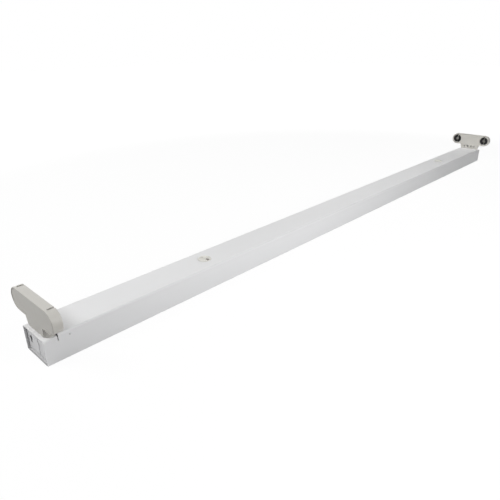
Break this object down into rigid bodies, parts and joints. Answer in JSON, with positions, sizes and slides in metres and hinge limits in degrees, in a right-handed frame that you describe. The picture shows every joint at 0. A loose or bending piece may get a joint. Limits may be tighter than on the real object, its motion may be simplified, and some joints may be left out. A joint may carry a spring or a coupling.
{
  "type": "twin lamp batten light fixture",
  "caption": "Surface-mounted twin batten of folded white steel with pill-shaped rotary lampholders at each end for tubular LED lamps, and quarter-turn latches on its cover.",
  "frame": {"origin": "middle of the mounting face, on the back of the base plate", "axes": "+X along the batten towards the far end in the picture, +Y across it, +Z away from the ceiling"},
  "size_m": [1.23, 0.097, 0.07],
  "materials": {
    "white_paint": "satin white powder coat",
    "ivory_plastic": "moulded, fine satin",
    "black_plastic": "moulded, satin",
    "latch_plastic": "moulded, satin",
    "spring_steel": "bright",
    "zinc_steel": "zinc plated",
    "rivet_aluminium": "bright",
    "contact_bronze": "bright strip",
    "terminal_brass": "turned",
    "natural_plastic": "translucent natural",
    "clip_plastic": "moulded",
    "grommet_rubber": "matt",
    "brown_insulation": "extruded",
    "blue_insulation": "extruded",
    "earth_insulation": "extruded, striped"
  },
  "bodies": {
    "batten": {"cover": "white_paint", "base_plate": "white_paint", "end_plate_near": "white_paint", "end_plate_far": "white_paint", "end_plate_rivets": "rivet_aluminium", "keeper_rivets": "rivet_aluminium", "bracket_rivets": "rivet_aluminium", "lampholder_housing_near": "ivory_plastic", "lampholder_housing_far": "ivory_plastic", "lampholder_lid_near": "ivory_plastic", "lampholder_lid_far": "ivory_plastic", "lampholder_contacts_near": "contact_bronze", "lampholder_contacts_far": "contact_bronze", "latch_keeper_near": "zinc_steel", "latch_keeper_far": "zinc_steel", "terminal_bracket": "zinc_steel", "terminal_block": "natural_plastic", "terminal_inserts": "terminal_brass", "terminal_screws": "zinc_steel", "block_screw": "zinc_steel", "earth_screw": "zinc_steel", "earth_tag": "terminal_brass", "cable_grommet": "grommet_rubber", "live_lead": "brown_insulation", "neutral_lead": "blue_insulation", "earth_lead": "earth_insulation", "link_lead_near": "brown_insulation", "link_lead_far": "blue_insulation", "wire_clips": "clip_plastic"},
    "rotor_near_left": {"rotor_near_left": "black_plastic"},
    "rotor_near_right": {"rotor_near_right": "black_plastic"},
    "rotor_far_left": {"rotor_far_left": "black_plastic"},
    "rotor_far_right": {"rotor_far_right": "black_plastic"},
    "latch_near": {"latch_near": "latch_plastic", "latch_washer_near": "spring_steel"},
    "latch_far": {"latch_far": "latch_plastic", "latch_washer_far": "spring_steel"}
  },
  "joints": [
    {"name": "rotor_near_left_turn", "type": "hinge", "parent": "batten", "child": "rotor_near_left", "pos_m": [-0.6005, 0.035, 0.0565], "axis": [1, 0, 0], "range_deg": [-90, 90]},
    {"name": "rotor_near_right_turn", "type": "hinge", "parent": "batten", "child": "rotor_near_right", "pos_m": [-0.6005, -0.035, 0.0565], "axis": [1, 0, 0], "range_deg": [-90, 90]},
    {"name": "rotor_far_left_turn", "type": "hinge", "parent": "batten", "child": "rotor_far_left", "pos_m": [0.6005, 0.035, 0.0565], "axis": [1, 0, 0], "range_deg": [-90, 90]},
    {"name": "rotor_far_right_turn", "type": "hinge", "parent": "batten", "child": "rotor_far_right", "pos_m": [0.6005, -0.035, 0.0565], "axis": [1, 0, 0], "range_deg": [-90, 90]},
    {"name": "latch_near_turn", "type": "hinge", "parent": "batten", "child": "latch_near", "pos_m": [-0.376, 0, 0.033], "axis": [0, 0, 1], "range_deg": [0, 90]},
    {"name": "latch_far_turn", "type": "hinge", "parent": "batten", "child": "latch_far", "pos_m": [0.398, 0, 0.033], "axis": [0, 0, 1], "range_deg": [0, 90]}
  ]
}
